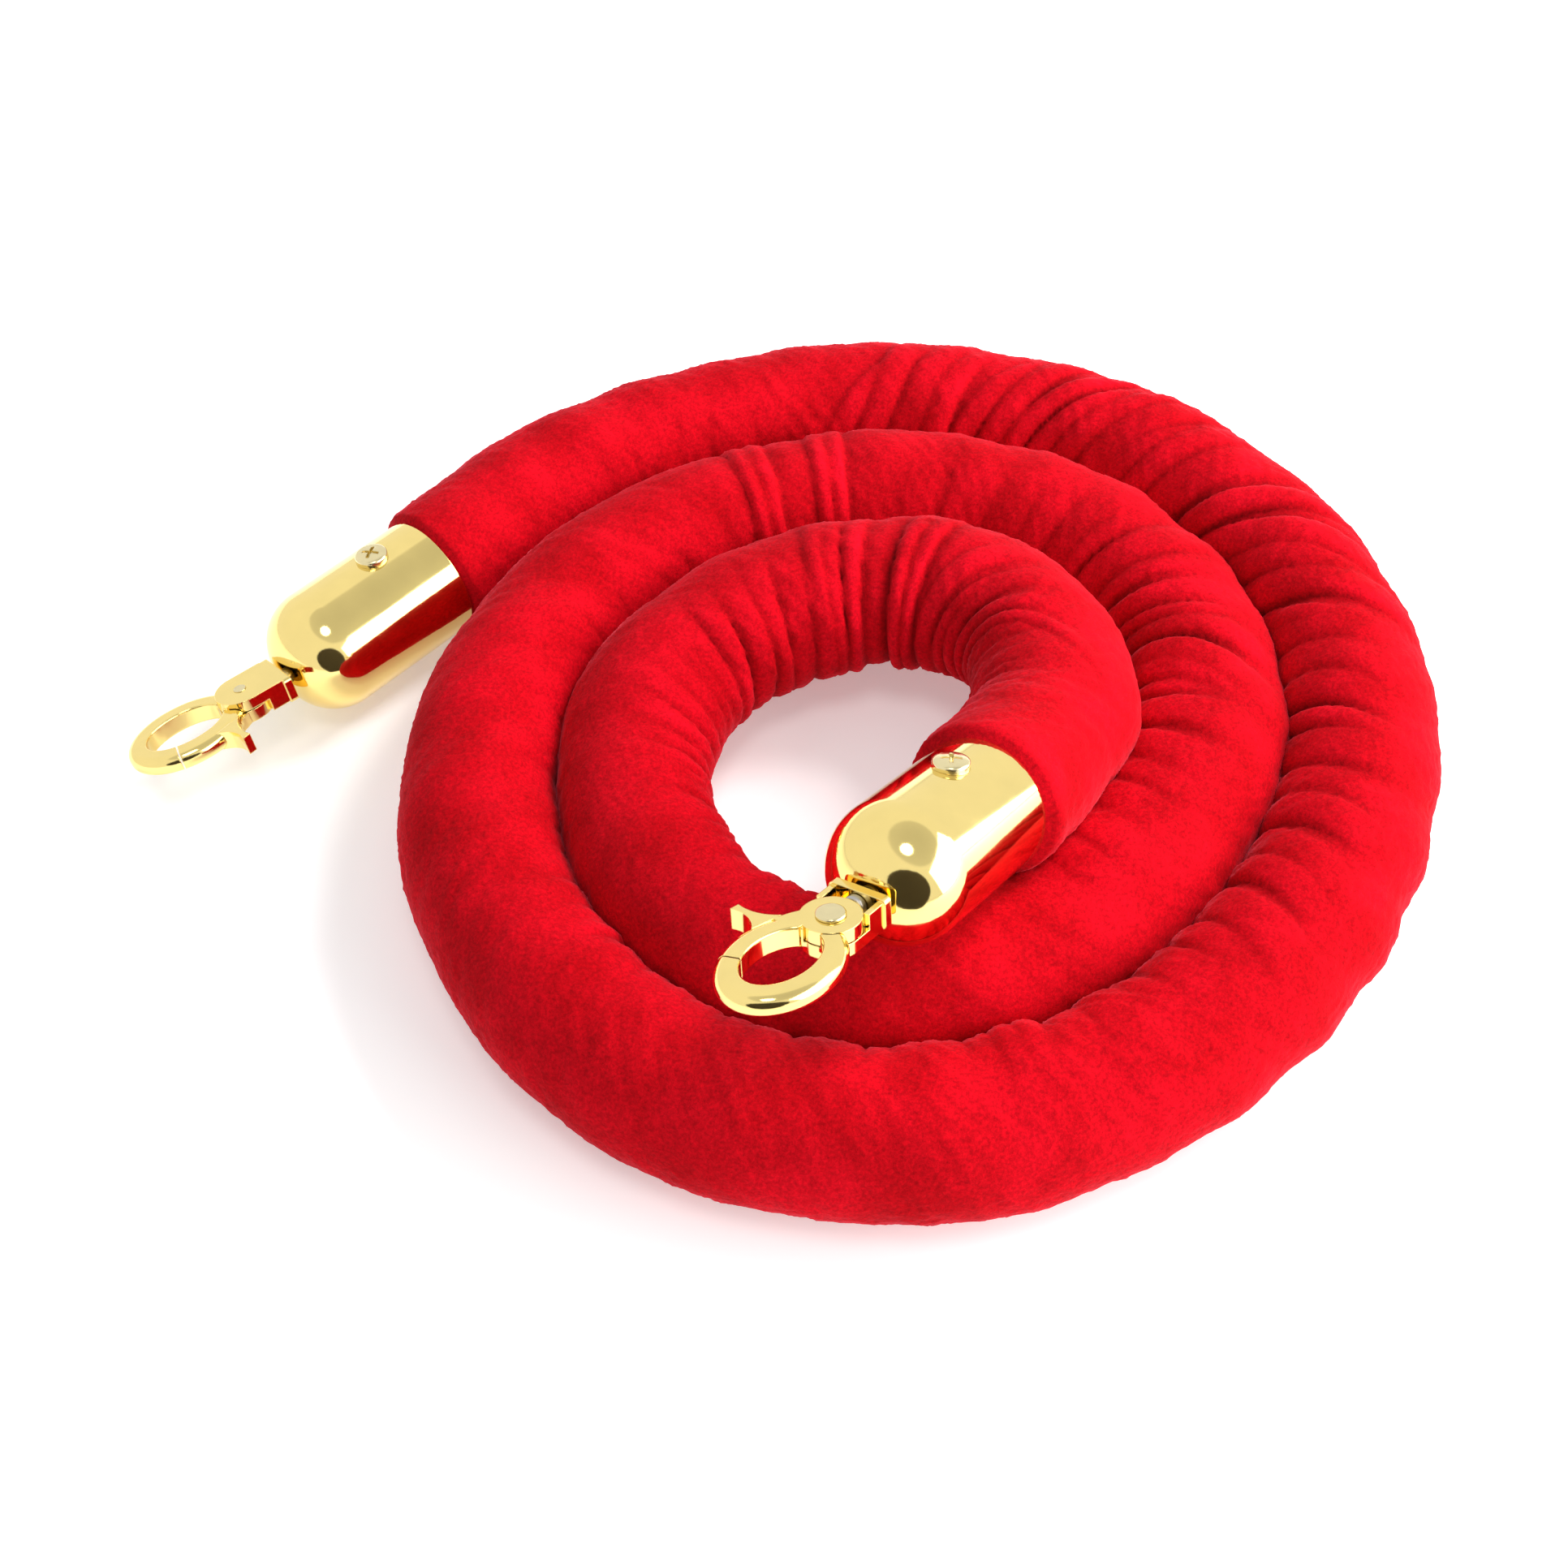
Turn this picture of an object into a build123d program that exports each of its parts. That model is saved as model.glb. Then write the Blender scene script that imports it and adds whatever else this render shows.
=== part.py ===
"""Velvet barrier rope, 35 mm thick and about 1.5 m from hook to hook, lying in a flat coil.

A velvet sleeve over a foam core ends in a domed brass cap at each end. Each cap carries a
swivelling trigger hook. Millimetres, +Z up. The origin is the middle of the coil, on the floor.
"""
import os
from math import cos, pi, radians, sin, tan

from build123d import *

os.makedirs("parts", exist_ok=True)

# ---------------------------------------------------------------- rope
ROPE_RADIUS = 17.5
VELVET = 1.5  # thickness of the sleeve
CORE_GAP = 0.2
NECK_RADIUS = 14.3  # the sleeve where it is squeezed into a cap
NECK_FROM = -4.0  # where it starts to narrow, from a cap's rim
SLEEVE_END = 24.0  # where it ends, inside the cap

# ---------------------------------------------------------------- coil, seen from above
STEPS = 16  # route points in one turn
FIRST_STEP = 2
LAST_STEP = 38
COIL_START = 130.7  # radius of the rope's centre line where the outer turn would begin
PITCH = 36.0  # turn to turn
OVAL = 4.7  # two-lobed departure from a round coil
EGG = 1.3  # three-lobed departure
CLIMB_FROM = 1.95  # turns before the innermost turn starts to climb
CLIMB_TURNS = 0.63
CLIMB = 18.0
LEAN = (-16.0, -40.0)  # sideways shift of the climbing turn, per turn squared

# ---------------------------------------------------------------- the two ends of the rope
# rim: centre of the cap's rim. cap, hook: where each points, as heading, tilt and roll about its own
# axis. A hook leans a few degrees from its cap, as far as the play in its collar lets it.
ENDS = {
    "outer": {"rim": (-114.5, 56.0, 17.5), "cap": (-132.5, 0, 8), "hook": (-138.5, 0, 197)},
    "inner": {"rim": (17.9, -40.2, 44.6), "cap": (-126.2, 19.7, 13), "hook": (-128.5, 14.5, 15)},
}
OUTER_TAIL = 12.0  # straight run of the rope behind the outer cap's rim
INNER_TAIL = 30.0
INNER_BEND = (40.0, 9.6, 30.0)  # between the coil and the inner cap's straight run

# ---------------------------------------------------------------- cap, from its rim along +X
CAP_LENGTH = 47.0
CAP_RADIUS = 15.7
CAP_WALL = 1.2
DOME_RADIUS = 13.3
PLUG_RADIUS = 12.6
PLUG_FROM = -1.5
PLUG_TO = 26.0
SCREW_X = 14.5
SCREW_SHANK = 1.6
SCREW_LENGTH = 9.5
SCREW_HEAD = 4.1
SCREW_HEAD_HEIGHT = 2.4
BORE_PLAY = 0.06

# ---------------------------------------------------------------- stem of the swivel
STEM_RADIUS = 1.8
STEM_HEAD = 2.5
STEM_HEAD_THICK = 1.6
WASHER_RADIUS = 4.2
WASHER_THICK = 1.0
NUT_FLATS = 7.0
NUT_THICK = 3.2

# ---------------------------------------------------------------- hook, flat in XY, front at +Z
BACK = -3.6  # of the base
RING_BACK = -2.2
FRONT = 2.6
LAP = -0.8  # top of the back plate under the gate
COLLAR_X = 50.9
COLLAR_THICK = 2.0
COLLAR_GAP = 1.0  # between the cap's dome and the collar
COLLAR_PLAY = 0.2  # round the stem, so that the hook can lean
COLLAR_WIDTH = 13.6
BASE_WIDTH = 12.6
WALL = 1.3
WALL_END = 57.6
PIVOT_X = 61.5
PIVOT_DISC = 6.3
RING_X = 77.3
RING_OUTER = (14.9, 11.5)  # half length and half width
RING_INNER = (9.9, 6.6)
RING_ROUNDING = 2.1
GATE_SIDE = -2.4  # the gate is the part of the ring below this Y
GAP = 0.35
LAYER_GAP = 0.3
RIVET_RADIUS = 1.5
RIVET_HEAD = 3.1
RIVET_HEAD_THICK = 0.7
SPRING_POCKET = 4.4
SPRING_POCKET_TOP = 1.3
SPRING_RADIUS = 3.1
SPRING_WIRE = 0.3
SPRING_COILS = 1.9
SPRING_PITCH = 0.72

COLLAR_END = COLLAR_X + COLLAR_THICK


def pointing(origin, heading, tilt, roll):
    """Plane with X along a heading and tilt, and Z rolled about it."""
    along, up = [
        axis.rotate(Axis.Y, -tilt).rotate(Axis.Z, heading) for axis in (Vector(1, 0, 0), Vector(0, 0, 1))
    ]
    return Plane(origin, x_dir=along, z_dir=up.rotate(Axis((0, 0, 0), along), roll))


def cap_place(end):
    """Plane at the rim with X along the cap."""
    return pointing(end["rim"], *end["cap"])


def along_axis(end, distance):
    """Point on a cap's axis, a distance past its rim."""
    place = cap_place(end)
    return Vector(place.origin) + place.x_dir * distance


def hook_place(end):
    """Plane that a hook is drawn on. It meets the cap's axis in the middle of the collar."""
    middle = along_axis(end, CAP_LENGTH + COLLAR_GAP + COLLAR_THICK / 2)
    leaning = pointing((0, 0, 0), *end["hook"])
    return pointing(middle - leaning.x_dir * (COLLAR_X + COLLAR_THICK / 2), *end["hook"])


def coil_point(step):
    """Control point of the coil; the rope's centre line runs just inside these points."""
    turn = step / STEPS
    angle = pi - 2 * pi * turn
    radius = COIL_START - PITCH * turn + OVAL * sin(2 * angle) + EGG * sin(3 * angle)
    climbing = max(0, turn - CLIMB_FROM)
    widen = 1 / cos(pi / STEPS)
    return Vector(
        (radius * cos(angle) + LEAN[0] * climbing**2) * widen,
        (radius * sin(angle) + LEAN[1] * climbing**2) * widen,
        ROPE_RADIUS + CLIMB * (climbing / CLIMB_TURNS) ** 1.4,
    )


# The rope's route, from the outer cap to the inner one.
route = [along_axis(ENDS["outer"], SLEEVE_END), along_axis(ENDS["outer"], -OUTER_TAIL)]
route += [coil_point(step) for step in range(FIRST_STEP, LAST_STEP + 1)]
route += [Vector(*INNER_BEND), along_axis(ENDS["inner"], -INNER_TAIL), along_axis(ENDS["inner"], SLEEVE_END)]


def corner_radius(before, corner, after, share=0.45):
    """Radius of the bend that takes this share of the shorter run."""
    run = min((corner - before).length, (after - corner).length)
    half_turn = radians((corner - before).get_angle(after - corner)) / 2
    return share * run / tan(half_turn)


radii = [corner_radius(*route[i - 1 : i + 2]) for i in range(1, len(route) - 1)]
radii[0] = corner_radius(*route[:3], share=0.24)  # so that it ends short of the outer neck
print("bend radii, mm:", [round(radius) for radius in radii])

with BuildLine() as centre_line:
    FilletPolyline(*route, radius=radii)
rope_path = centre_line.wires()[0]
rope_start = Plane(rope_path @ 0, x_dir=(0, 0, -1), z_dir=rope_path % 0)
print("rope length between the caps, mm:", round(rope_path.length))


def turned_at_ends(*profile):
    """A profile of (along, radius) points turned about the axis of both caps."""
    with BuildPart() as tool:
        for end in ENDS.values():
            place = cap_place(end)
            with BuildSketch(Plane(place.origin, x_dir=place.x_dir, z_dir=place.z_dir)):
                with BuildLine():
                    Polyline(*profile, close=True)
                make_face()
            revolve(axis=Axis(place.origin, place.x_dir))
    return tool.part


# ---------------------------------------------------------------- velvet sleeve
beyond = SLEEVE_END + 5
far_out = ROPE_RADIUS + 0.3
neck_inside = NECK_RADIUS - VELVET

with BuildPart() as velvet_sleeve:
    with BuildSketch(rope_start):
        Circle(ROPE_RADIUS)
    sweep(path=rope_path)
    offset(amount=-VELVET, openings=velvet_sleeve.faces().filter_by(GeomType.PLANE))
    # the round tube stops short of each cap, where a narrower neck goes on
    add(turned_at_ends((NECK_FROM, 0), (beyond, 0), (beyond, far_out), (NECK_FROM, far_out)), mode=Mode.SUBTRACT)
    add(
        turned_at_ends(
            (NECK_FROM, ROPE_RADIUS),
            (NECK_FROM + 2.0, ROPE_RADIUS - 0.5),
            (NECK_FROM + 3.2, ROPE_RADIUS - 1.4),
            (NECK_FROM + 3.7, ROPE_RADIUS - 2.2),
            (NECK_FROM + 3.7, NECK_RADIUS),
            (SLEEVE_END, NECK_RADIUS),
            (SLEEVE_END, neck_inside),
            (NECK_FROM + 2.0, neck_inside),
            (NECK_FROM, ROPE_RADIUS - VELVET),
        )
    )
    for end in ENDS.values():
        place = cap_place(end)
        for facing in (1, -1):
            with BuildSketch(Plane(along_axis(end, SCREW_X), z_dir=place.z_dir * facing)):
                Circle(SCREW_SHANK + BORE_PLAY)
            extrude(amount=NECK_RADIUS + 0.3, mode=Mode.SUBTRACT)

ring_area = pi * (ROPE_RADIUS**2 - (ROPE_RADIUS - VELVET) ** 2)
print("sleeve volume against section times length:", velvet_sleeve.part.volume, ring_area * rope_path.length)

velvet_sleeve.part.label = "velvet_sleeve"
export_step(velvet_sleeve.part, "parts/velvet_sleeve.step")

# ---------------------------------------------------------------- foam core
core_radius = ROPE_RADIUS - VELVET - CORE_GAP
with BuildPart() as foam_core:
    with BuildSketch(rope_start):
        Circle(core_radius)
    sweep(path=rope_path)
    core_end = NECK_FROM - CORE_GAP
    beyond_core = turned_at_ends((core_end, 0), (beyond, 0), (beyond, far_out), (core_end, far_out))
    add(beyond_core, mode=Mode.SUBTRACT)

print("core volume against section times length:", foam_core.part.volume, pi * core_radius**2 * rope_path.length)

foam_core.part.label = "foam_core"
export_step(foam_core.part, "parts/foam_core.step")
for piece in (velvet_sleeve.part, foam_core.part):
    print(piece.label, "valid" if piece.is_valid else "INVALID", len(piece.solids()))

# ---------------------------------------------------------------- cap: a cup with a domed end
with BuildPart() as cap:
    with BuildSketch(Plane.XZ):
        with BuildLine():
            bore = STEM_RADIUS + BORE_PLAY
            inside = CAP_RADIUS - CAP_WALL
            dome_x = CAP_LENGTH - DOME_RADIUS
            dome_y = CAP_RADIUS - DOME_RADIUS
            Line((0, CAP_RADIUS), (dome_x, CAP_RADIUS))
            CenterArc((dome_x, dome_y), DOME_RADIUS, 0, 90)
            Polyline((CAP_LENGTH, dome_y), (CAP_LENGTH, bore), (CAP_LENGTH - CAP_WALL, bore), (CAP_LENGTH - CAP_WALL, dome_y))
            CenterArc((dome_x, dome_y), DOME_RADIUS - CAP_WALL, 0, 90)
            Polyline((dome_x, inside), (0, inside), (0, CAP_RADIUS))
        make_face()
    revolve(axis=Axis.X)
    for facing in (1, -1):
        with BuildSketch(Plane((SCREW_X, 0, 0), z_dir=(0, 0, facing))):
            Circle(SCREW_SHANK + BORE_PLAY)
        extrude(amount=CAP_RADIUS + 1, mode=Mode.SUBTRACT)
    rim_edges = cap.edges().filter_by(GeomType.CIRCLE).group_by(Axis.X)[0]
    fillet(rim_edges, 0.4)

# ---------------------------------------------------------------- wooden plug inside the rope's end
with BuildPart() as end_plug:
    with BuildSketch(Plane.YZ.offset(PLUG_FROM)):
        Circle(PLUG_RADIUS)
    extrude(amount=PLUG_TO - PLUG_FROM)
    chamfer(end_plug.edges().group_by(Axis.X)[-1], 1.0)
    for facing in (1, -1):
        with BuildSketch(Plane((SCREW_X, 0, 0), z_dir=(0, 0, facing)).offset(CAP_RADIUS - SCREW_LENGTH - 0.3)):
            Circle(SCREW_SHANK + BORE_PLAY)
        extrude(amount=SCREW_LENGTH, mode=Mode.SUBTRACT)


def cap_screw(facing):
    """Pan-head screw with a cross recess; its head's underside is hollowed to the cap's curve."""
    top = CAP_RADIUS + SCREW_HEAD_HEIGHT - 0.4
    with BuildPart() as screw:
        with BuildSketch(Plane.XZ) as head_profile:
            with BuildLine():
                Line((0, CAP_RADIUS - 1), (SCREW_HEAD, CAP_RADIUS - 1))
                Line((SCREW_HEAD, CAP_RADIUS - 1), (SCREW_HEAD, CAP_RADIUS + 0.7))
                Spline(
                    (SCREW_HEAD, CAP_RADIUS + 0.7),
                    (SCREW_HEAD * 0.72, top - 0.35),
                    (0, top),
                    tangents=((0, 1), (-1, 0)),
                )
                Line((0, top), (0, CAP_RADIUS - 1))
            make_face()
        revolve(axis=Axis.Z)
        with BuildSketch(Plane.YZ):
            Circle(CAP_RADIUS + 0.02)
        extrude(amount=SCREW_HEAD + 1, both=True, mode=Mode.SUBTRACT)
        with BuildSketch(Plane.XY.offset(CAP_RADIUS - SCREW_LENGTH)):
            Circle(SCREW_SHANK)
        extrude(amount=SCREW_LENGTH + 0.8)
        with BuildSketch(Plane.XY.offset(top + 0.1)):
            Rectangle(4.6, 1.0, rotation=30)
            Rectangle(4.6, 1.0, rotation=120)
        extrude(amount=-1.3, taper=12, mode=Mode.SUBTRACT)
    turn = 0 if facing > 0 else 180
    return screw.part.rotate(Axis.X, turn).moved(Location((SCREW_X, 0, 0)))


# ---------------------------------------------------------------- stem, washer and nut of the swivel
stem_end = CAP_LENGTH - CAP_WALL - WASHER_THICK - NUT_THICK - 1.4
stem_head_x = CAP_LENGTH + COLLAR_GAP + COLLAR_THICK + 0.45
with BuildPart() as swivel_stem:
    with BuildSketch(Plane.YZ.offset(stem_end)):
        Circle(STEM_RADIUS)
    extrude(amount=stem_head_x - stem_end)
    chamfer(swivel_stem.edges().group_by(Axis.X)[0], 0.4)
    with BuildSketch(Plane.YZ.offset(stem_head_x)):
        Circle(STEM_HEAD)
    extrude(amount=STEM_HEAD_THICK)
    fillet(swivel_stem.edges().group_by(Axis.X)[-1], 0.7)

washer_x = CAP_LENGTH - CAP_WALL - WASHER_THICK - 0.3
with BuildPart() as stem_washer:
    with BuildSketch(Plane.YZ.offset(washer_x)):
        Circle(WASHER_RADIUS)
        Circle(STEM_RADIUS + BORE_PLAY, mode=Mode.SUBTRACT)
    extrude(amount=WASHER_THICK)

with BuildPart() as stem_nut:
    with BuildSketch(Plane.YZ.offset(washer_x - NUT_THICK - 0.05)):
        RegularPolygon(NUT_FLATS / 2, 6, major_radius=False)
        Circle(STEM_RADIUS + BORE_PLAY, mode=Mode.SUBTRACT)
    extrude(amount=NUT_THICK)


# ---------------------------------------------------------------- trigger hook
def ring_blank():
    """The hook's whole oval ring, rounded on its outer edges, before the gate is cut from it."""
    with BuildPart() as blank:
        with BuildSketch(Plane.XY.offset(RING_BACK)):
            with Locations((RING_X, 0)):
                Ellipse(*RING_OUTER)
        extrude(amount=FRONT - RING_BACK)
        fillet(blank.edges(), RING_ROUNDING)
        with BuildSketch(Plane.XY.offset(RING_BACK)):
            with Locations((RING_X, 0)):
                Ellipse(*RING_INNER)
        extrude(amount=FRONT - RING_BACK, mode=Mode.SUBTRACT)
        fillet(blank.edges().filter_by(GeomType.ELLIPSE).sort_by(SortBy.LENGTH)[:2], 0.5)
    return blank.part


def gate_zone(shrink, inner_radius):
    """Outline of the ring's gate side: below GATE_SIDE, short of the slanted nose seam and
    outside a circle about the pivot. Shrink draws every edge in."""
    with BuildSketch() as zone:
        with BuildLine():
            Polyline(
                (PIVOT_X, GATE_SIDE - shrink),
                (81.6 - shrink, GATE_SIDE - shrink),
                (85.4 - shrink, -15.0),
                (PIVOT_X, -15.0),
                close=True,
            )
        make_face()
        with Locations((PIVOT_X, 0)):
            Circle(inner_radius, mode=Mode.SUBTRACT)
    return zone.sketch


ring_solid = ring_blank()

with BuildPart() as hook_body:
    add(ring_solid)
    # the gate's side of the ring, and the room its pivot disc turns in
    with BuildSketch(Plane.XY.offset(BACK - 1)):
        add(gate_zone(0, PIVOT_DISC - 1))
    extrude(amount=FRONT - BACK + 2, mode=Mode.SUBTRACT)
    # the back plate, under the gate's disc
    with BuildSketch(Plane.XY.offset(BACK)) as plate:
        with Locations(((COLLAR_END + PIVOT_X) / 2, 0)):
            Rectangle(PIVOT_X - COLLAR_END, BASE_WIDTH)
        with Locations((PIVOT_X, 0)):
            Circle(PIVOT_DISC)
    extrude(amount=LAP - BACK)
    with BuildSketch(Plane.XY.offset(LAP)):
        with Locations((PIVOT_X, 0)):
            Circle(PIVOT_DISC + GAP)
    extrude(amount=FRONT - LAP + 1, mode=Mode.SUBTRACT)
    # the two side walls of the base
    with BuildSketch(Plane.XY.offset(BACK)):
        for side in (1, -1):
            with Locations(((COLLAR_END + WALL_END) / 2, side * (BASE_WIDTH - WALL) / 2)):
                Rectangle(WALL_END - COLLAR_END, WALL)
    extrude(amount=FRONT - BACK)
    # room for the stem's head
    head_room = STEM_HEAD + 0.6
    with BuildSketch(Plane.XY.offset(-head_room)):
        with Locations((COLLAR_END + 1.7, 0)):
            Rectangle(3.4, 2 * head_room)
    extrude(amount=head_room + FRONT, mode=Mode.SUBTRACT)
    # the collar plate that turns on the stem
    with BuildSketch(Plane.YZ.offset(COLLAR_X)) as collar:
        with Locations((0, (FRONT + BACK) / 2 + 0.3)):
            RectangleRounded(COLLAR_WIDTH, FRONT - BACK + 0.6, 1.0)
    extrude(amount=COLLAR_THICK)
    with BuildSketch(Plane.YZ.offset(COLLAR_X - 1)):
        Circle(STEM_RADIUS + COLLAR_PLAY)
    extrude(amount=COLLAR_THICK + 2, mode=Mode.SUBTRACT)
    with BuildSketch(Plane.XY.offset(BACK - 1)):
        with Locations((PIVOT_X, 0)):
            Circle(RIVET_RADIUS + 0.02)
    extrude(amount=LAP - BACK + 2, mode=Mode.SUBTRACT)

with BuildPart() as gate:
    add(ring_solid)
    # keep only the gate's side of the ring
    with BuildSketch(Plane.XY.offset(BACK - 1)):
        add(gate_zone(GAP, PIVOT_DISC + GAP))
    extrude(amount=FRONT - BACK + 2, mode=Mode.INTERSECT)
    # the pivot disc and its bridge to the arm lie in front of the back plate
    with BuildSketch(Plane.XY.offset(LAP + LAYER_GAP)) as disc:
        with Locations((PIVOT_X, 0)):
            Circle(PIVOT_DISC)
        with BuildLine():
            Polyline((PIVOT_X, -1.5), (68.2, GATE_SIDE - GAP), (68.6, -8.8), (65.0, -6.9), (PIVOT_X - 1, -4), close=True)
        make_face()
    extrude(amount=FRONT - LAP - LAYER_GAP)
    # the thumb lever, full thickness, flared at its tip
    with BuildSketch(Plane.XY.offset(RING_BACK)) as lever:
        with BuildLine():
            ThreePointArc((66.6, -8.0), (68.5, -12.0), (68.3, -17.3))
            Line((68.3, -17.3), (70.4, -17.7))
            ThreePointArc((70.4, -17.7), (70.7, -13.2), (73.6, -10.0))
            Line((73.6, -10.0), (66.6, -8.0))
        make_face()
    extrude(amount=FRONT - RING_BACK)
    with BuildSketch(Plane.XY.offset(LAP)):
        with Locations((PIVOT_X, 0)):
            Circle(SPRING_POCKET)
    extrude(amount=SPRING_POCKET_TOP - LAP, mode=Mode.SUBTRACT)
    with BuildSketch(Plane.XY.offset(LAP)):
        with Locations((PIVOT_X, 0)):
            Circle(RIVET_RADIUS + BORE_PLAY)
    extrude(amount=FRONT - LAP + 1, mode=Mode.SUBTRACT)

# ---------------------------------------------------------------- rivet and spring of the gate
with BuildPart() as gate_rivet:
    with BuildSketch(Plane.XY.offset(BACK - 0.2)):
        with Locations((PIVOT_X, 0)):
            Circle(RIVET_RADIUS)
    extrude(amount=FRONT - BACK + 0.3)
    with BuildSketch(Plane.XY.offset(FRONT + 0.08)):
        with Locations((PIVOT_X, 0)):
            Circle(RIVET_HEAD)
    extrude(amount=RIVET_HEAD_THICK)
    fillet(gate_rivet.edges().group_by(Axis.Z)[-1], 0.45)

with BuildPart() as gate_spring:
    spring_start = LAP + SPRING_WIRE + 0.05
    with BuildLine(Plane((PIVOT_X, 0, spring_start))) as spring_wire:
        Helix(pitch=SPRING_PITCH, height=SPRING_PITCH * SPRING_COILS, radius=SPRING_RADIUS)
    with BuildSketch(Plane(spring_wire.wires()[0] @ 0, z_dir=spring_wire.wires()[0] % 0)):
        Circle(SPRING_WIRE)
    sweep(path=spring_wire.wires()[0], is_frenet=True)

# ---------------------------------------------------------------- the pieces at both ends
cap_pieces = {
    "cap": cap.part,
    "end_plug": end_plug.part,
    "cap_screw_upper": cap_screw(1),
    "cap_screw_lower": cap_screw(-1),
    "swivel_stem": swivel_stem.part,
    "stem_washer": stem_washer.part,
    "stem_nut": stem_nut.part,
}
hook_pieces = {
    "hook_body": hook_body.part,
    "gate": gate.part,
    "gate_rivet": gate_rivet.part,
    "gate_spring": gate_spring.part,
}

for end_name, end in ENDS.items():
    for pieces, place in ((cap_pieces, cap_place(end)), (hook_pieces, hook_place(end))):
        for piece_name, piece in pieces.items():
            placed = piece.moved(place.location)
            placed.label = f"{end_name}_{piece_name}"
            export_step(placed, f"parts/{placed.label}.step")
            print(placed.label, "valid" if placed.is_valid else "INVALID", len(placed.solids()), round(placed.volume, 1))
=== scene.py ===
"""Velvet barrier rope: the looks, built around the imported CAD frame. Metres, +Z up."""

import math

import bpy
import numpy as np
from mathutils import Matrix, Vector


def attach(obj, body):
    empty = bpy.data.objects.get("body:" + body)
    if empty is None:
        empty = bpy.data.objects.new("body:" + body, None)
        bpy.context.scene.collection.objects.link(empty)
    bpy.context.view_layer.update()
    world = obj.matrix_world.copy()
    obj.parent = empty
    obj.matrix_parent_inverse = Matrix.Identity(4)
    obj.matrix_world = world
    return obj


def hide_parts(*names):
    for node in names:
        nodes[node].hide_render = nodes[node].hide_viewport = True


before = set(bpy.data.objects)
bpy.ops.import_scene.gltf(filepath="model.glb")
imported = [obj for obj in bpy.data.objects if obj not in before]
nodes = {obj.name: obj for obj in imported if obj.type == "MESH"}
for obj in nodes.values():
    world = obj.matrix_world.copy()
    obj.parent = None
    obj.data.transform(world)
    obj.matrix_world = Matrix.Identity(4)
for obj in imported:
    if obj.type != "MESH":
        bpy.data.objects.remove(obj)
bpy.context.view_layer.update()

# ---------------------------------------------------------------- the rope's route, as in the CAD
ROPE_RADIUS = 0.0175
NECK_RADIUS = 0.0143  # the velvet's radius inside a cap
NECK_INSIDE = 0.0128  # radius of the hollow in each end of the velvet
SLEEVE_END = 0.024  # from a cap's rim to the velvet's end inside the cap
STEPS = 16  # control points in each turn of the coil
FIRST_STEP = 2
LAST_STEP = 38
COIL_START = 0.1307  # the spiral's radius at its start
PITCH = 0.036  # how much the radius shrinks in each turn
OVAL = 0.0047
EGG = 0.0013
CLIMB_FROM = 1.95  # in turns
CLIMB_TURNS = 0.63
CLIMB_POWER = 1.4
CLIMB = 0.018
DRIFT = (-0.016, -0.040)  # how the climbing stretch moves off the spiral, in x and y
ENDS = {
    "outer": {"rim": (-0.1145, 0.0560, 0.0175), "heading": -132.5, "tilt": 0.0},
    "inner": {"rim": (0.0179, -0.0402, 0.0446), "heading": -126.2, "tilt": 19.7},
}
OUTER_TAIL = 0.012  # from a cap's rim back to the nearest control point outside it
INNER_TAIL = 0.030
INNER_BEND = (0.0400, 0.0096, 0.0300)


def along_axis(end, distance):
    """Point on a cap's axis, a distance past its rim."""
    heading = math.radians(end["heading"])
    tilt = math.radians(end["tilt"])
    level = math.cos(tilt)
    direction = Vector((math.cos(heading) * level, math.sin(heading) * level, math.sin(tilt)))
    return Vector(end["rim"]) + direction * distance


def coil_point(step):
    """Control point of the coil, by its number."""
    turn = step / STEPS
    angle = math.pi - 2 * math.pi * turn
    radius = COIL_START - PITCH * turn + OVAL * math.sin(2 * angle) + EGG * math.sin(3 * angle)
    climbing = max(0, turn - CLIMB_FROM)
    widen = 1 / math.cos(math.pi / STEPS)
    return Vector(
        (
            (radius * math.cos(angle) + DRIFT[0] * climbing**2) * widen,
            (radius * math.sin(angle) + DRIFT[1] * climbing**2) * widen,
            ROPE_RADIUS + CLIMB * (climbing / CLIMB_TURNS) ** CLIMB_POWER,
        )
    )


route = [along_axis(ENDS["outer"], SLEEVE_END), along_axis(ENDS["outer"], -OUTER_TAIL)]
route += [coil_point(step) for step in range(FIRST_STEP, LAST_STEP + 1)]
route += [Vector(INNER_BEND), along_axis(ENDS["inner"], -INNER_TAIL), along_axis(ENDS["inner"], SLEEVE_END)]

# ---------------------------------------------------------------- camera
SENSOR_WIDTH = 36.0  # mm
LENS = 45.41  # mm
CAMERA_AT = Vector((-0.02426, -0.30316, 0.37751))
LOOKS_AT = Vector((-0.02426, 0.00176, 0.0))

camera_data = bpy.data.cameras.new("camera")
camera_data.sensor_width = SENSOR_WIDTH
camera_data.lens = LENS
camera = bpy.data.objects.new("camera", camera_data)
bpy.context.scene.collection.objects.link(camera)
camera.location = CAMERA_AT
camera.rotation_euler = (LOOKS_AT - CAMERA_AT).to_track_quat("-Z", "Y").to_euler()
bpy.context.scene.camera = camera

# ---------------------------------------------------------------- the rope's line
SPLINE_ORDER = 3  # such a spline touches each run between control points at its middle
SPLINE_DETAIL = 24  # points read for each run
RING_STEP = 0.0010  # between the rings of the velvet's mesh
AROUND = 144  # spots in a ring
AVERAGING_ROUNDS = 6


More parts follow.
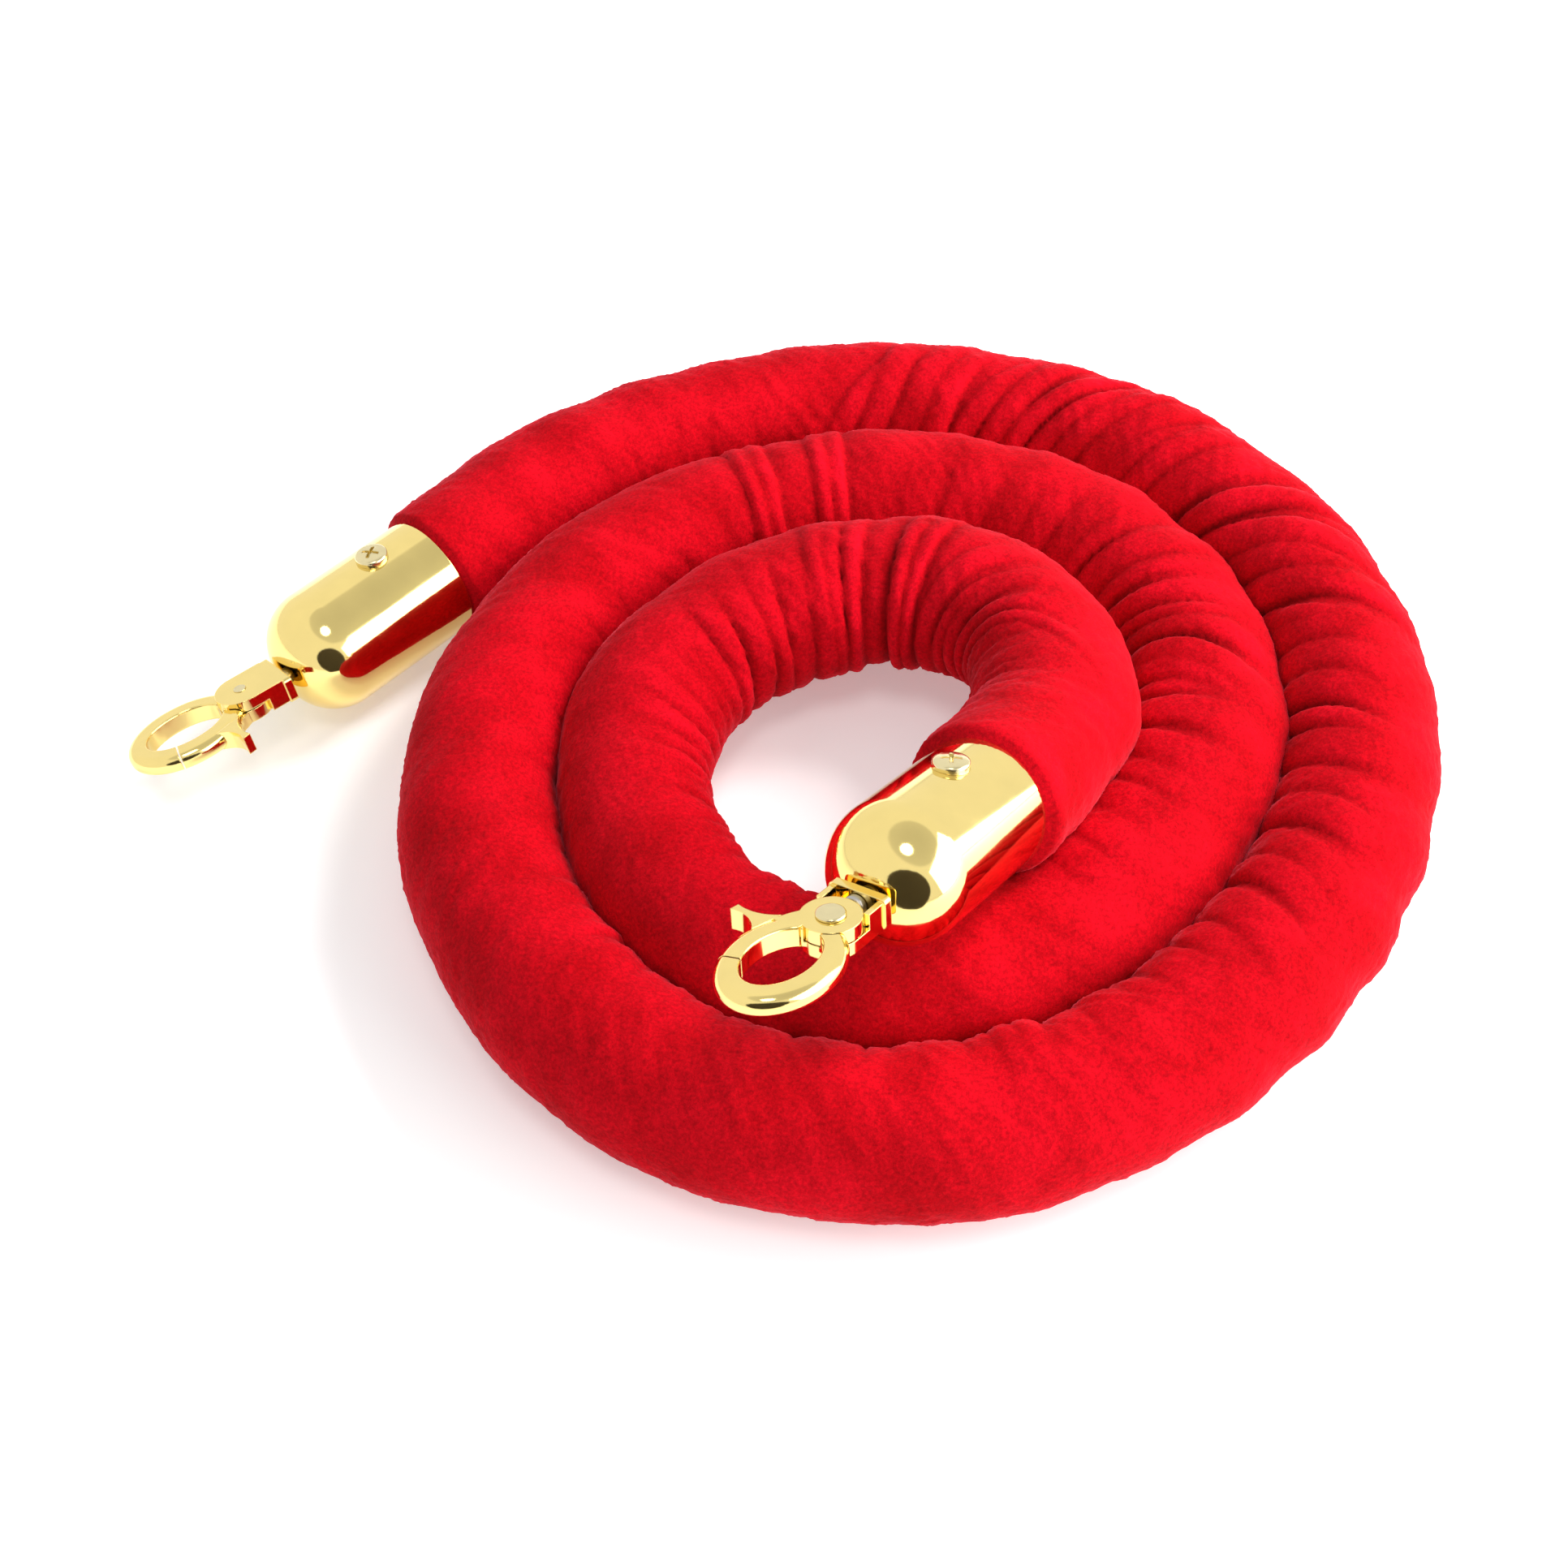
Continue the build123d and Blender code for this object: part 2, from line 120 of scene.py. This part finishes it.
def line_of(points):
    """Points read from a smooth spline through space with these control points."""
    curve = bpy.data.curves.new("rope_line", "CURVE")
    curve.dimensions = "3D"
    spline = curve.splines.new("NURBS")
    spline.points.add(len(points) - 1)
    for slot, point in zip(spline.points, points):
        slot.co = (*point, 1.0)
    spline.order_u = SPLINE_ORDER
    spline.use_endpoint_u = True
    spline.resolution_u = SPLINE_DETAIL
    holder = bpy.data.objects.new("rope_line", curve)
    bpy.context.scene.collection.objects.link(holder)
    mesh = bpy.data.meshes.new_from_object(holder)
    found = np.array([vertex.co for vertex in mesh.vertices], float)
    bpy.data.objects.remove(holder)
    bpy.data.curves.remove(curve)
    bpy.data.meshes.remove(mesh)
    return found


coarse = line_of(route)
run = np.concatenate([[0], np.cumsum(np.linalg.norm(np.diff(coarse, axis=0), axis=1))])
line_length = run[-1]
ring_count = int(line_length / RING_STEP) + 1
station = np.linspace(0, line_length, ring_count)
centre = np.stack([np.interp(station, run, coarse[:, axis]) for axis in range(3)], axis=1)
# a light average rounds off the small steps that come from reading the spline
for _ in range(AVERAGING_ROUNDS):
    centre[1:-1] = 0.25 * centre[:-2] + 0.5 * centre[1:-1] + 0.25 * centre[2:]
along = np.gradient(centre, axis=0)
along /= np.linalg.norm(along, axis=1)[:, None]
outward = np.cross((0, 0, 1), along)
outward /= np.linalg.norm(outward, axis=1)[:, None]
upward = np.cross(along, outward)
plan_angle = np.unwrap(np.arctan2(centre[:, 1], centre[:, 0]))
coil_turn = (math.pi - plan_angle) / (2 * math.pi)
coil_turn -= round(coil_turn[ring_count // 2] - 1.0)  # halfway along, the rope is about one turn in

# ---------------------------------------------------------------- gathers in the velvet
# Each ridge of a gather lies across the rope. It starts under the rope's inner side, angle 0, goes over the
# top, 90, and fades on the way to the outer side. Its lean carries it along the rope as it goes outwards.
FADE_TOP = math.radians(14)
FADE_UNDER = math.radians(12)
LEAN_ENDS = math.radians(150)  # where a ridge stops drifting along the rope
LEAN_POWER = 1.4
RIDGE_BACK = 0.012  # the stretch of rope that one ridge can touch, behind its place and ahead of it
RIDGE_AHEAD = 0.060
RIDGE_SHARE = 0.51  # a ridge's half width in a gather, as a share of its step: neighbours just meet
DIP_REACH = 1.7  # how far a ridge's dips go, in half widths of the ridge
DIP_SHARE = 0.55  # how deep the dips are, as a share of the ridges' height
WAVER = 0.0009  # how much the ridges of a gather differ in lean and bow
around = np.arange(AROUND) * 2 * math.pi / AROUND
side_angle = np.where(around > math.pi * 1.5, around - 2 * math.pi, around)  # the underside counts from -90
dice = np.random.default_rng(497)
ridges = np.zeros((ring_count, AROUND))
dips = np.zeros((ring_count, AROUND))


def ridge(place, height, half_width, reach, lean, under=60.0, bow=0.0):
    """Raises one rounded ridge of cloth, with the dips at its sides, from -under to reach degrees."""
    strength = 1 / (1 + np.exp((side_angle - math.radians(reach)) / FADE_TOP))
    strength /= 1 + np.exp((-side_angle - math.radians(under)) / FADE_UNDER)
    outwards = np.clip(side_angle, 0, LEAN_ENDS)
    shift = lean * outwards**LEAN_POWER + bow * np.sin(outwards * 2)
    first, last = np.searchsorted(station, (place - RIDGE_BACK, place + RIDGE_AHEAD))
    off = (station[first:last, None] - place - shift[None, :]) / half_width
    rounded = np.clip(1 - off**2, 0, None) ** 0.5
    ridges[first:last] = np.maximum(ridges[first:last], strength * height * rounded)
    beside = np.exp(-((off / DIP_REACH) ** 2))
    dips[first:last] = np.maximum(dips[first:last], strength * height * beside)


def gather(turn_from, turn_to, spacing, height, reach, lean):
    """Row of uneven ridges, side by side, between two places on the coil, given in turns."""
    first = int(np.searchsorted(coil_turn, turn_from))
    last = min(int(np.searchsorted(coil_turn, turn_to)), ring_count - 1)
    place = station[first]
    while place < station[last]:
        step = spacing * dice.uniform(0.65, 1.4)
        own_height = height * dice.uniform(0.45, 1.2)
        own_reach = reach * dice.uniform(0.65, 1.15)
        own_lean = lean * dice.uniform(0.75, 1.25) + dice.normal(0, WAVER)
        under = dice.uniform(35, 75)
        bow = dice.normal(0, WAVER)
        ridge(place + step / 2, own_height, RIDGE_SHARE * step, own_reach, own_lean, under, bow)
        place += step


def ridge_at(turn, height, half_width, reach, lean):
    """One ridge at a place on the coil, given in turns."""
    ridge(float(np.interp(turn, coil_turn, station)), height, half_width, reach, lean)


# the outer turn, from the far left round by the right to the left
gather(0.10, 0.22, 0.0120, 0.0006, 60, 0.002)
gather(0.225, 0.335, 0.0088, 0.0022, 122, 0.0075)
gather(0.335, 0.45, 0.0115, 0.0031, 108, 0.0080)
gather(0.45, 0.60, 0.0100, 0.0028, 86, 0.0030)
gather(0.60, 0.74, 0.0088, 0.0023, 52, 0.001)
gather(0.74, 0.90, 0.0080, 0.0021, 38, 0.001)
gather(0.90, 1.16, 0.0100, 0.0011, 28, 0.0)
# the second turn, with two pairs of narrow ridges at its far side
gather(1.26, 1.36, 0.0105, 0.0012, 75, 0.003)
gather(1.36, 1.46, 0.0082, 0.0024, 110, 0.0045)
gather(1.46, 1.62, 0.0085, 0.0022, 88, 0.002)
gather(1.62, 1.90, 0.0078, 0.0016, 44, 0.001)
for fold_turn in (1.182, 1.190, 1.219, 1.227):
    ridge_at(fold_turn, 0.0017, 0.0024, 150, 0.0006)
# the third turn, round the hole, with five narrow ridges at its far side
gather(1.90, 2.06, 0.0066, 0.0013, 80, 0.002)
gather(2.06, 2.170, 0.0074, 0.0023, 92, 0.0030)
FAR_FOLDS = {2.186: 0.0022, 2.199: 0.0018, 2.219: 0.0022, 2.270: 0.0030, 2.286: 0.0025}  # turn: height
for fold_turn, fold_height in FAR_FOLDS.items():
    ridge_at(fold_turn, fold_height, 0.0028, 118, 0.0015)
gather(2.302, 2.42, 0.0062, 0.0021, 90, 0.0055)
gather(2.42, 2.56, 0.0070, 0.0010, 75, 0.002)
bulge = ridges - DIP_SHARE * dips

# how far each spot stands above or below the cloth round it: painted shade darkens the velvet's colour down
# in a fold, and a painted highlight lightens it on a crest
BLUR_RINGS = 15
RELIEF_UNIT = 0.0007
RELIEF_LOW = -1.6
RELIEF_HIGH = 1.0
blur = np.hanning(BLUR_RINGS)
blur /= blur.sum()
level = np.apply_along_axis(lambda line: np.convolve(line, blur, mode="same"), 0, bulge)
relief = np.clip((bulge - level) / RELIEF_UNIT, RELIEF_LOW, RELIEF_HIGH)

# ---------------------------------------------------------------- the velvet's larger shape
WIDENING = 0.0008  # the rope's own weight flattens it, so that neighbouring turns touch
UNEVENNESS = 0.00030  # of the filling
CREASES = 0.00008
FUZZ = 0.00009  # the pile's own roughness


def slack(turn_from, turn_to, depth, middle_angle, half_angle):
    """Loose cloth that hangs out on one side of the rope."""
    share = np.clip((coil_turn - turn_from) / (turn_to - turn_from), 0, 1)
    lengthwise = np.sin(math.pi * share) ** 2
    turned = np.angle(np.exp(1j * (around - math.radians(middle_angle))))
    crosswise = np.exp(-((turned / math.radians(half_angle)) ** 2))
    return depth * lengthwise[:, None] * crosswise[None, :]


def waves(count, longest, shortest, seed):
    """Smooth unevenness along and around the rope, from -1 to 1 or so."""
    pick = np.random.default_rng(seed)
    total = np.zeros((ring_count, AROUND))
    for _ in range(count):
        length = longest * (shortest / longest) ** pick.random()
        turns_round = pick.integers(0, max(2, int(2 * math.pi * ROPE_RADIUS / length)) + 1)
        phase = pick.uniform(0, 2 * math.pi)
        total += np.sin(2 * math.pi * station[:, None] / length + turns_round * around[None, :] + phase)
    return total / math.sqrt(count / 2)


bulge += slack(1.97, 2.42, 0.0030, 8, 48)
bulge += slack(1.38, 1.74, 0.0030, 12, 40)
bulge += slack(2.38, 2.62, 0.0022, 190, 45)
bulge += WIDENING * np.cos(around)[None, :] ** 2
bulge += UNEVENNESS * waves(18, 0.09, 0.02, 11)
bulge += CREASES * waves(40, 0.012, 0.004, 12)
bulge += FUZZ * dice.normal(0, 1, bulge.shape)

# ---------------------------------------------------------------- the velvet's surface
INSET = 0.0001  # the plain velvet lies this far inside the CAD sleeve's surface
BULGE_RUN = 0.0045  # from the neck to the rope's full thickness
LOWEST = 0.0001
POCKET = 0.0265  # depth of the hollow in each end of the velvet


def squeeze(distance_from_rim):
    """Radius where the rope goes into a cap: full outside, the neck inside."""
    share = np.clip(-distance_from_rim / BULGE_RUN, 0, 1)
    return NECK_RADIUS + (ROPE_RADIUS - NECK_RADIUS) * np.sqrt(1 - (1 - share) ** 2)


from_outer_rim = SLEEVE_END - station
from_inner_rim = SLEEVE_END - (line_length - station)
limit = np.minimum(squeeze(from_outer_rim), squeeze(from_inner_rim))
near_cap = np.clip((ROPE_RADIUS - limit) / (ROPE_RADIUS - NECK_RADIUS), 0, 1)[:, None]
radius = ROPE_RADIUS - INSET + bulge
radius = radius * (1 - near_cap) + limit[:, None] * near_cap

surface = (
    centre[:, None, :]
    - outward[:, None, :] * np.cos(around)[None, :, None] * radius[:, :, None]
    + upward[:, None, :] * np.sin(around)[None, :, None] * radius[:, :, None]
)
surface[:, :, 2] = np.maximum(surface[:, :, 2], LOWEST)


def hollow_end(at_start):
    """Two rings of the hollow in one end of the velvet, and the middle point of its floor."""
    row = 0 if at_start else ring_count - 1
    away = -along[row] if at_start else along[row]
    rings = []
    for depth in (0.0, POCKET):
        middle = centre[row] - away * depth
        rings.append(
            middle
            - outward[row] * (np.cos(around) * NECK_INSIDE)[:, None]
            + upward[row] * (np.sin(around) * NECK_INSIDE)[:, None]
        )
    return rings, middle


def sleeve_faces(ring_total):
    """Quads between neighbouring rings, and a fan of triangles on the middle point of each end."""
    column = np.arange(AROUND)
    beside = (column + 1) % AROUND
    rows = np.arange(ring_total - 1)[:, None] * AROUND
    quads = np.stack([rows + column, rows + beside, rows + AROUND + beside, rows + AROUND + column], axis=-1)
    last_row = (ring_total - 1) * AROUND
    start_middle = ring_total * AROUND
    end_middle = start_middle + 1
    faces = quads.reshape(-1, 4).tolist()
    faces += [(start_middle, int(beside[i]), int(column[i])) for i in range(AROUND)]
    faces += [(end_middle, int(last_row + column[i]), int(last_row + beside[i])) for i in range(AROUND)]
    return faces


def mesh_object(name, vertices, faces, material):
    """A new smooth-shaded mesh object in the scene."""
    mesh = bpy.data.meshes.new(name)
    mesh.from_pydata(vertices, [], faces)
    mesh.validate()
    mesh.polygons.foreach_set("use_smooth", [True] * len(mesh.polygons))
    mesh.materials.append(material)
    made = bpy.data.objects.new(name, mesh)
    bpy.context.scene.collection.objects.link(made)
    return made


# ---------------------------------------------------------------- node helpers
COLOUR_A = 6  # a Mix node's sockets when it mixes colours
COLOUR_B = 7
COLOUR_RESULT = 2


def new_material(name):
    """A material, its Principled shader, a function that adds a node and one that links two sockets."""
    material = bpy.data.materials.new(name)
    material.use_nodes = True
    tree = material.node_tree
    shader = tree.nodes["Principled BSDF"]

    def add(kind, **values):
        node = tree.nodes.new(kind)
        for key, value in values.items():
            if key in node.inputs:
                node.inputs[key].default_value = value
            else:
                setattr(node, key, value)
        return node

    return material, shader, add, tree.links.new


def grey(value):
    """A colour without hue."""
    return (value, value, value)


def ramp(add, link, source, stops):
    """Colour ramp fed by a socket; stops are (position, colour)."""
    node = add("ShaderNodeValToRGB")
    elements = node.color_ramp.elements
    for element, (position, colour) in ((elements[0], stops[0]), (elements[1], stops[-1])):
        element.position = position
        element.color = (*colour, 1)
    for position, colour in stops[1:-1]:
        elements.new(position).color = (*colour, 1)
    link(source, node.inputs["Fac"])
    return node.outputs["Color"]


def noise(add, link, place, **values):
    """Noise texture in the piece's own space."""
    node = add("ShaderNodeTexNoise", **values)
    link(place, node.inputs["Vector"])
    return node.outputs["Fac"]


def multiplied(add, link, first, second):
    """Two colours, multiplied."""
    node = add("ShaderNodeMix", data_type="RGBA", blend_type="MULTIPLY")
    node.inputs["Factor"].default_value = 1.0
    link(first, node.inputs[COLOUR_A])
    link(second, node.inputs[COLOUR_B])
    return node.outputs[COLOUR_RESULT]


def bumped(add, link, height, normal=None, **values):
    """Bump from a height socket, on top of another normal if there is one."""
    node = add("ShaderNodeBump", **values)
    link(height, node.inputs["Height"])
    if normal:
        link(normal, node.inputs["Normal"])
    return node.outputs["Normal"]


# ---------------------------------------------------------------- materials
DEEP_RED = (0.42, 0.001, 0.005)
FULL_RED = (0.58, 0.002, 0.010)
SHEEN_TINT = (1.0, 0.13, 0.18)
# painted shade down in the folds and painted highlight on their crests, set by the fold relief
PAINTED_FOLD_SHADING = [(0.0, (0.44, 0.36, 0.36)), (0.62, (1.0, 1.0, 1.0)), (1.0, (1.30, 1.8, 1.8))]
SMUDGE_ROUGHNESS = 2.1  # how many times rougher polished metal is where it is smudged
EDGE_ROUNDING = 0.00035  # softens the CAD pieces' sharp edges in reflections
DARK_WOOD = (0.36, 0.22, 0.11)
LIGHT_WOOD = (0.56, 0.38, 0.20)


def velvet_material():
    """Plush velvet: deep red pile, brushed in soft patches, with painted shade in the folds and painted
    highlights on their crests, and a lighter sheen.
    """
    material, shader, add, link = new_material("velvet")
    place = add("ShaderNodeTexCoord").outputs["Object"]
    patches = noise(add, link, place, Scale=70.0, Detail=2.0, Roughness=0.5, Distortion=0.3)
    tufts = noise(add, link, place, Scale=1250.0, Detail=3.0, Roughness=0.65)
    pile = noise(add, link, place, Scale=2600.0, Detail=2.0, Roughness=0.6)
    fold = add("ShaderNodeAttribute", attribute_name="fold").outputs["Fac"]
    brushed = ramp(add, link, patches, [(0.30, DEEP_RED), (0.70, FULL_RED)])
    grain = ramp(add, link, tufts, [(0.30, grey(0.68)), (0.70, grey(1.28))])
    # painted shade in the folds and painted highlight on the crests, multiplied into the velvet's colour
    shade = ramp(add, link, fold, PAINTED_FOLD_SHADING)
    grained = multiplied(add, link, brushed, grain)
    link(multiplied(add, link, grained, shade), shader.inputs["Base Color"])
    soft = bumped(add, link, tufts, Strength=0.22, Distance=0.0005)
    link(bumped(add, link, pile, soft, Strength=0.3, Distance=0.0002), shader.inputs["Normal"])
    shader.inputs["Roughness"].default_value = 0.95
    shader.inputs["Specular IOR Level"].default_value = 0.05
    shader.inputs["Sheen Weight"].default_value = 0.50
    shader.inputs["Sheen Roughness"].default_value = 0.30
    shader.inputs["Sheen Tint"].default_value = (*SHEEN_TINT, 1)
    return material


def metal_material(name, colour, smudge, roughness):
    """Metal with faint smudges, a slight ripple and softened edges; smudge darkens its colour."""
    material, shader, add, link = new_material(name)
    place = add("ShaderNodeTexCoord").outputs["Object"]
    clouds = noise(add, link, place, Scale=120.0, Detail=3.0, Roughness=0.55)
    smudged = tuple(channel * smudge for channel in colour)
    link(ramp(add, link, clouds, [(0.3, smudged), (0.7, colour)]), shader.inputs["Base Color"])
    dull = ramp(add, link, clouds, [(0.35, grey(roughness)), (0.75, grey(roughness * SMUDGE_ROUGHNESS))])
    link(dull, shader.inputs["Roughness"])
    edges = add("ShaderNodeBevel", Radius=EDGE_ROUNDING).outputs["Normal"]
    ripple = noise(add, link, place, Scale=150.0, Detail=1.0)
    link(bumped(add, link, ripple, edges, Strength=0.04, Distance=0.0002), shader.inputs["Normal"])
    shader.inputs["Metallic"].default_value = 1.0
    return material


def wood_material():
    """Turned wood of the plugs, seen only with the rope cut open."""
    material, shader, add, link = new_material("plug_wood")
    place = add("ShaderNodeTexCoord").outputs["Object"]
    rings = add("ShaderNodeTexWave", Scale=160.0, Distortion=3.0, Detail=2.0)
    link(place, rings.inputs["Vector"])
    tone = ramp(add, link, rings.outputs["Fac"], [(0.0, DARK_WOOD), (1.0, LIGHT_WOOD)])
    link(tone, shader.inputs["Base Color"])
    shader.inputs["Roughness"].default_value = 0.7
    return material


velvet = velvet_material()
gold = metal_material("gold", (0.97, 0.76, 0.28), 0.95, 0.05)
screw_metal = metal_material("screw_metal", (0.86, 0.74, 0.42), 0.85, 0.12)
steel = metal_material("steel", (0.52, 0.50, 0.47), 0.85, 0.28)
plug_wood = wood_material()

# ---------------------------------------------------------------- the velvet sleeve
start_rings, start_middle = hollow_end(True)
end_rings, end_middle = hollow_end(False)
all_rings = [start_rings[1], start_rings[0], *surface, end_rings[0], end_rings[1]]
vertices = np.concatenate(all_rings + [start_middle[None, :], end_middle[None, :]])
sleeve = mesh_object("velvet_rope", vertices.tolist(), sleeve_faces(len(all_rings)), velvet)
# the fold relief from 0 to 1 at each spot, stored as the mask for the painted fold shade and highlight
fold_shading_mask = np.zeros(len(sleeve.data.vertices))
first_spot = len(start_rings) * AROUND
fold_shading_mask[first_spot : first_spot + relief.size] = (
    (relief - RELIEF_LOW) / (RELIEF_HIGH - RELIEF_LOW)
).ravel()
sleeve.data.attributes.new("fold", "FLOAT", "POINT").data.foreach_set("value", fold_shading_mask)
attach(sleeve, "rope")
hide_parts("velvet_sleeve", "foam_core")

# ---------------------------------------------------------------- finishes of the CAD pieces
FINISHES = {
    "cap": gold,
    "hook_body": gold,
    "gate": gold,
    "cap_screw_upper": screw_metal,
    "cap_screw_lower": screw_metal,
    "gate_rivet": screw_metal,
    "swivel_stem": steel,
    "stem_washer": steel,
    "stem_nut": steel,
    "gate_spring": steel,
    "end_plug": plug_wood,
}
for end_name in ENDS:
    for piece_name, finish in FINISHES.items():
        piece = nodes[f"{end_name}_{piece_name}"]
        for material_slot in piece.material_slots:
            material_slot.material = finish
        piece.data.polygons.foreach_set("use_smooth", [True] * len(piece.data.polygons))

# ---------------------------------------------------------------- floor
FLOOR_HALF = 6.0
FLOOR_TONE = 0.90
FLOOR_GLOW = 0.3  # lifts the floor to a photographer's white sweep

floor_material, floor_shader, _, _ = new_material("floor")
floor_shader.inputs["Base Color"].default_value = (*grey(FLOOR_TONE), 1)
floor_shader.inputs["Roughness"].default_value = 0.9
floor_shader.inputs["Emission Color"].default_value = (*grey(1.0), 1)
floor_shader.inputs["Emission Strength"].default_value = FLOOR_GLOW
floor_corners = [(FLOOR_HALF * x, FLOOR_HALF * y, 0) for x, y in ((-1, -1), (1, -1), (1, 1), (-1, 1))]
floor = mesh_object("floor", floor_corners, [(0, 1, 2, 3)], floor_material)

# ---------------------------------------------------------------- what the polished metal mirrors
DOME_RADIUS = 8.0
DOME_STEPS = 24  # rows of faces from the floor to the top
CEILING_LEAN = 0.2  # how much lower the ceiling reaches on the right-hand side
WALL_TONES = [(0.80, grey(0.98)), (0.84, grey(0.72)), (1.0, grey(0.64))]  # share of the dome's height
CARD_Y = -0.42
CARD_MIDDLE = (-0.03, 0.20)  # across and up
CARD_HALF = (0.25, 0.22)
CARD_CORNERS = 32
CARD_TONE = (0.02, 0.015, 0.01)


def only_in_reflections(obj):
    """Shows a studio object in reflections and nowhere else."""
    obj.visible_camera = False
    obj.visible_diffuse = False
    obj.visible_transmission = False
    obj.visible_shadow = False


def dome_mesh():
    """Corners and faces of half a ball over the floor."""
    columns = 2 * DOME_STEPS
    corners = []
    for row in range(DOME_STEPS + 1):
        rise = math.pi / 2 * row / DOME_STEPS
        flat = DOME_RADIUS * math.cos(rise)
        for column in range(columns):
            bearing = math.pi * column / DOME_STEPS
            corners.append((flat * math.cos(bearing), flat * math.sin(bearing), DOME_RADIUS * math.sin(rise)))
    faces = []
    for row in range(DOME_STEPS):
        low = row * columns
        high = low + columns
        for column in range(columns):
            across = (column + 1) % columns
            faces.append((low + column, low + across, high + across, high + column))
    return corners, faces


def walls_material():
    """White walls and a greyer ceiling, which reaches lower on the right-hand side."""
    material, shader, add, link = new_material("studio_walls")
    place = add("ShaderNodeSeparateXYZ")
    link(add("ShaderNodeTexCoord").outputs["Object"], place.inputs[0])
    leaning = add("ShaderNodeMath", operation="MULTIPLY_ADD")
    link(place.outputs["X"], leaning.inputs[0])
    leaning.inputs[1].default_value = CEILING_LEAN
    link(place.outputs["Z"], leaning.inputs[2])
    share_up = add("ShaderNodeMath", operation="DIVIDE")
    link(leaning.outputs[0], share_up.inputs[0])
    share_up.inputs[1].default_value = DOME_RADIUS
    link(ramp(add, link, share_up.outputs[0], WALL_TONES), shader.inputs["Emission Color"])
    shader.inputs["Base Color"].default_value = (*grey(0.0), 1)
    shader.inputs["Roughness"].default_value = 1.0
    shader.inputs["Specular IOR Level"].default_value = 0.0
    shader.inputs["Emission Strength"].default_value = 1.0
    return material


def card_corners():
    """Corners of an upright oval that stops at the floor."""
    corners = []
    for corner in range(CARD_CORNERS):
        bearing = 2 * math.pi * corner / CARD_CORNERS
        across = CARD_MIDDLE[0] + CARD_HALF[0] * math.cos(bearing)
        up = CARD_MIDDLE[1] + CARD_HALF[1] * math.sin(bearing)
        corners.append((across, CARD_Y, max(0.0, up)))
    return corners


only_in_reflections(mesh_object("studio_walls", *dome_mesh(), walls_material()))
card_material, card_shader, _, _ = new_material("dark_card")
card_shader.inputs["Base Color"].default_value = (*CARD_TONE, 1)
card_shader.inputs["Roughness"].default_value = 1.0
only_in_reflections(mesh_object("dark_card", card_corners(), [tuple(range(CARD_CORNERS))], card_material))

# ---------------------------------------------------------------- light
WORLD_STRENGTH = 0.5

world = bpy.data.worlds.new("studio")
world.use_nodes = True
bpy.context.scene.world = world
studio_tone = world.node_tree.nodes["Background"]
studio_tone.inputs["Color"].default_value = (*grey(1.0), 1)
studio_tone.inputs["Strength"].default_value = WORLD_STRENGTH


def area_light(name, place, size, power, shape="RECTANGLE"):
    """Soft panel that faces the middle of the coil; its size in metres, its power in watts."""
    data = bpy.data.lights.new(name, "AREA")
    data.shape = shape
    data.size, data.size_y = size
    data.energy = power
    light = bpy.data.objects.new(name, data)
    light.location = place
    light.rotation_euler = (-Vector(place)).to_track_quat("-Z", "Y").to_euler()
    bpy.context.scene.collection.objects.link(light)
    return light


area_light("softbox", (1.08, -0.196, 0.47), (1.6, 0.98), 24)
area_light("overhead", (-0.03, -0.39, 1.45), (0.46, 0.46), 3.2, "DISK")
key = area_light("key", (0.76, 0.60, 0.92), (0.42, 0.42), 14)
key.visible_glossy = False

bpy.context.scene.view_settings.view_transform = "Standard"
bpy.context.view_layer.update()
